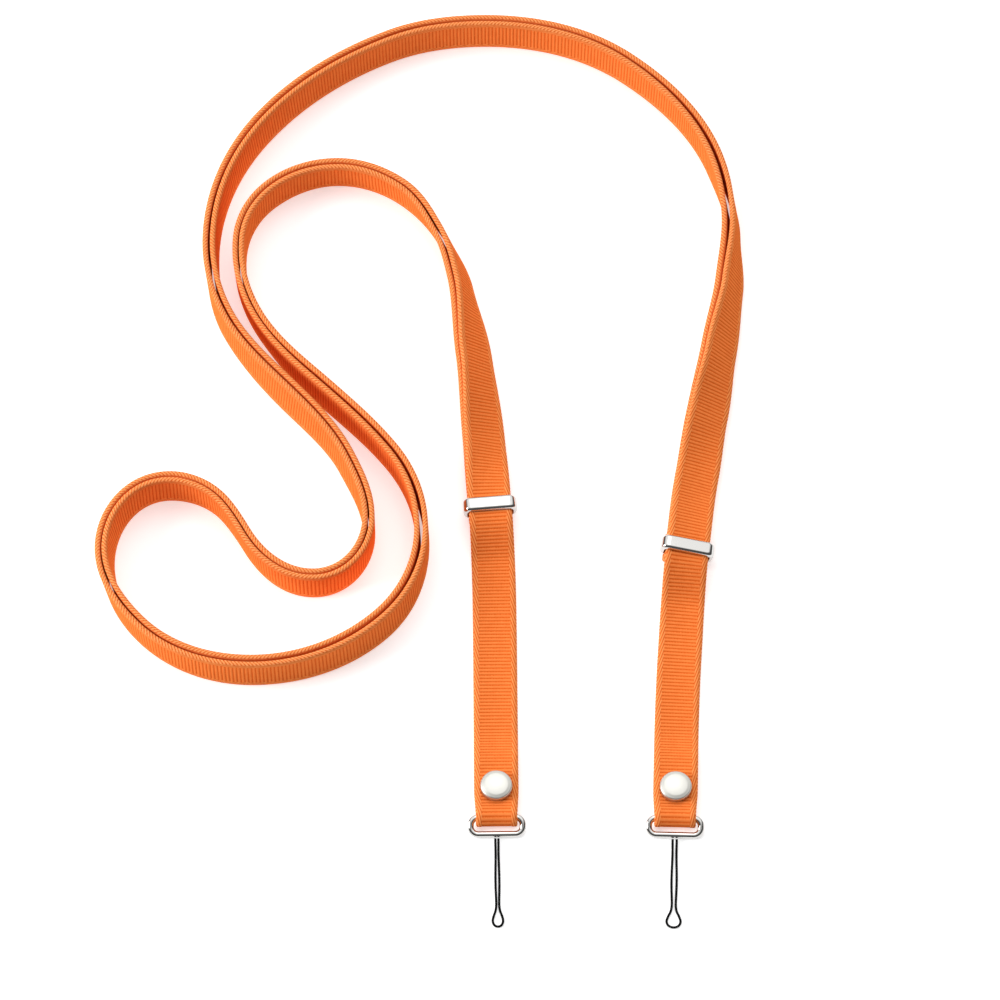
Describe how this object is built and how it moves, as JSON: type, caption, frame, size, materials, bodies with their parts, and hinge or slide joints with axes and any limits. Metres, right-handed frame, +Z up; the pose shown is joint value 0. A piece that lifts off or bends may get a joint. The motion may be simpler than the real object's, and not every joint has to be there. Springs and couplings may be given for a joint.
{
  "type": "phone crossbody strap",
  "caption": "Long doubled webbing strap for carrying a phone across the body, with sliding keepers, snaps, end rings and thin cord loops, lying in loose loops.",
  "frame": {"origin": "the middle of the strap's footprint without its cord loops, on the surface that it lies on", "axes": "+Z up from the surface, +Y from the rings towards the big loop, +X from the left leg towards the right leg"},
  "size_m": [0.2234, 0.3462, 0.0155],
  "materials": {
    "webbing": "orange grosgrain webbing with cross ribs and herringbone edges, matt with a soft sheen",
    "polished_nickel": "polished nickel plate, mirror-like, faintly warm",
    "satin_nickel": "satin nickel plate, softly reflecting",
    "cord": "thin black braided cord"
  },
  "bodies": {
    "root": {"strap_a": "webbing", "strap_b": "webbing", "slider_left": "polished_nickel", "slider_right": "polished_nickel", "ring_left": "polished_nickel", "ring_right": "polished_nickel", "snap_cap_left": "satin_nickel", "snap_cap_right": "satin_nickel", "snap_base_left": "satin_nickel", "snap_base_right": "satin_nickel", "cord_loop_left": "cord", "cord_loop_right": "cord"}
  },
  "joints": []
}
